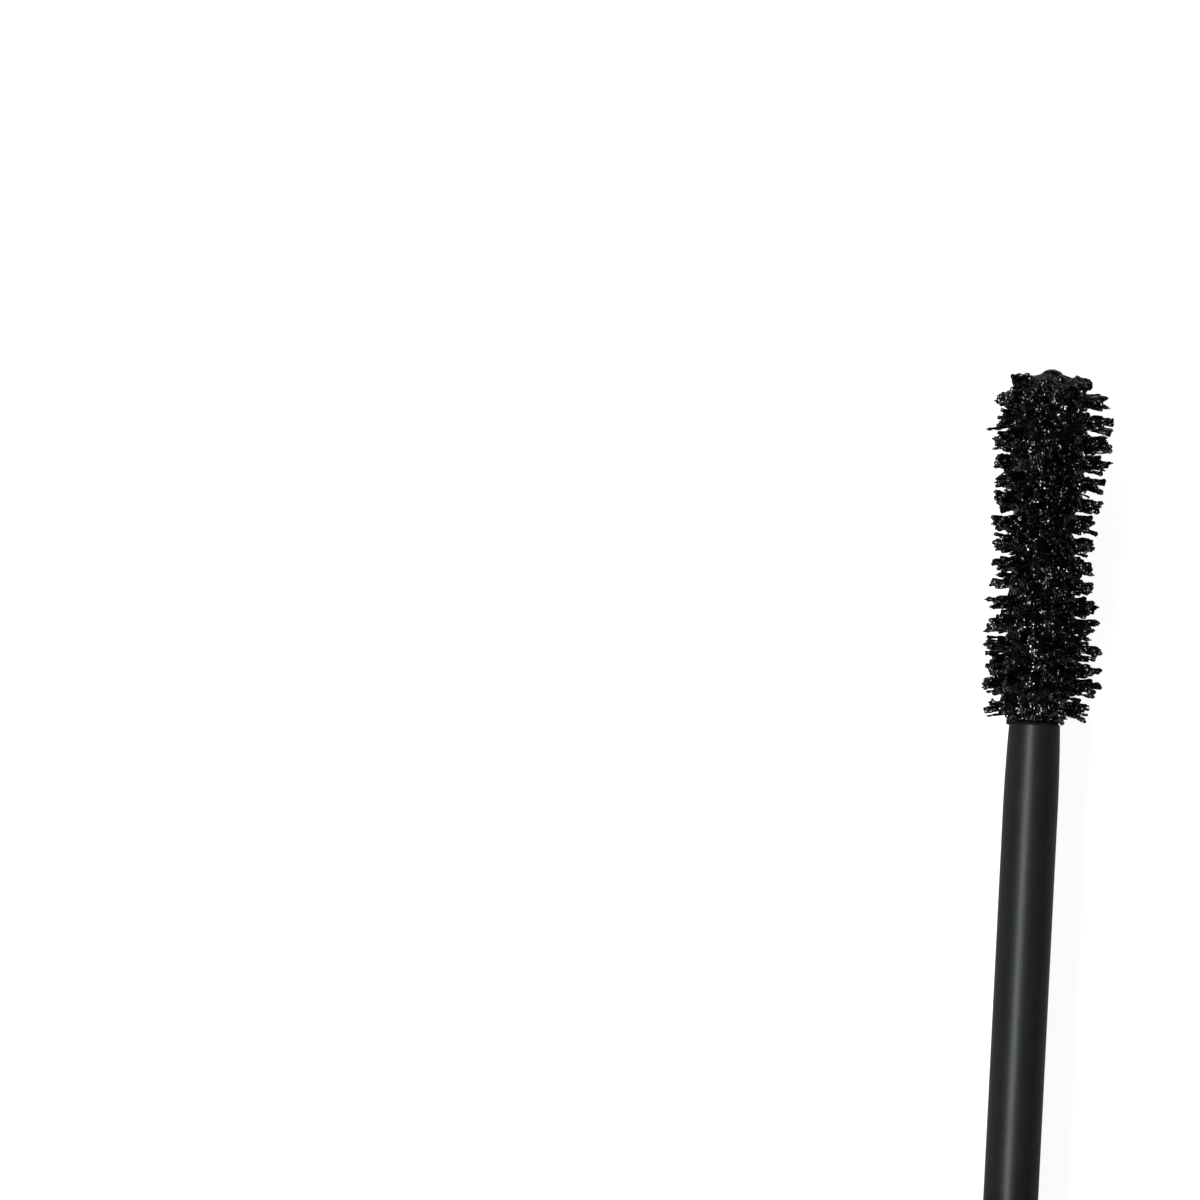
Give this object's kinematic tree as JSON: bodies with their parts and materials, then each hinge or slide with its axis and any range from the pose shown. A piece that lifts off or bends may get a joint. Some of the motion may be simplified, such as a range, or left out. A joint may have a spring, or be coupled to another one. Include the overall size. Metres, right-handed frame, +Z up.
{
  "type": "mascara with brush applicator",
  "caption": "Opened mascara lying down: soft-square tube with threaded neck and wiper, and its cap, stem and loaded twisted-wire brush drawn out in line.",
  "frame": {"origin": "on the surface that the mascara lies on, under the middle of its opened length", "axes": "+Y along the common axis from the cap to the tube's base, +Z up; the axis is 8.5 mm above the origin"},
  "size_m": [0.017, 0.2376, 0.017],
  "materials": {
    "soft_black": "soft-touch lacquer",
    "label_film": "satin film",
    "vial_plastic": "smoky, a little translucent",
    "collar_metal": "satin anodised gunmetal",
    "wiper_plastic": "waxy, translucent",
    "mascara": "wet paste",
    "wire_steel": "drawn wire",
    "bristle_nylon": "coated with paste",
    "stem_black": "satin moulded",
    "liner_plastic": "moulded",
    "washer_foam": "closed-cell foam",
    "slug_steel": "turned"
  },
  "bodies": {
    "tube": {"outer_sleeve": "soft_black", "base_plug": "soft_black", "base_label": "label_film", "vial": "vial_plastic", "shoulder_collar": "collar_metal", "wiper": "wiper_plastic", "mascara_fill": "mascara"},
    "seal_washer": {"seal_washer": "washer_foam"},
    "cap_weight": {"cap_weight": "slug_steel"},
    "applicator": {"twisted_wire": "wire_steel", "bristles": "bristle_nylon", "mascara_load": "mascara", "stem": "stem_black", "inner_cap": "liner_plastic", "weight_retainer": "liner_plastic", "cap_shell": "soft_black", "cap_end_disc": "collar_metal"}
  },
  "joints": [
    {"name": "wand_draw", "type": "slide", "parent": "tube", "child": "seal_washer", "axis": [0, 1, 0], "range_m": [0, 0.10842], "deforming": ["bristles", "mascara_load"]},
    {"name": "cap_advance", "type": "slide", "parent": "seal_washer", "child": "cap_weight", "axis": [0, 1, 0], "range_m": [0, 0.00318]},
    {"name": "cap_screw", "type": "hinge", "parent": "cap_weight", "child": "applicator", "pos_m": [0, -0.0788, 0.0085], "axis": [0, 1, 0], "range_deg": [0, 540]}
  ],
  "couplings": [
    {"joint": "cap_advance", "follows": "cap_screw", "m_per_rad": 0.00033741}
  ]
}
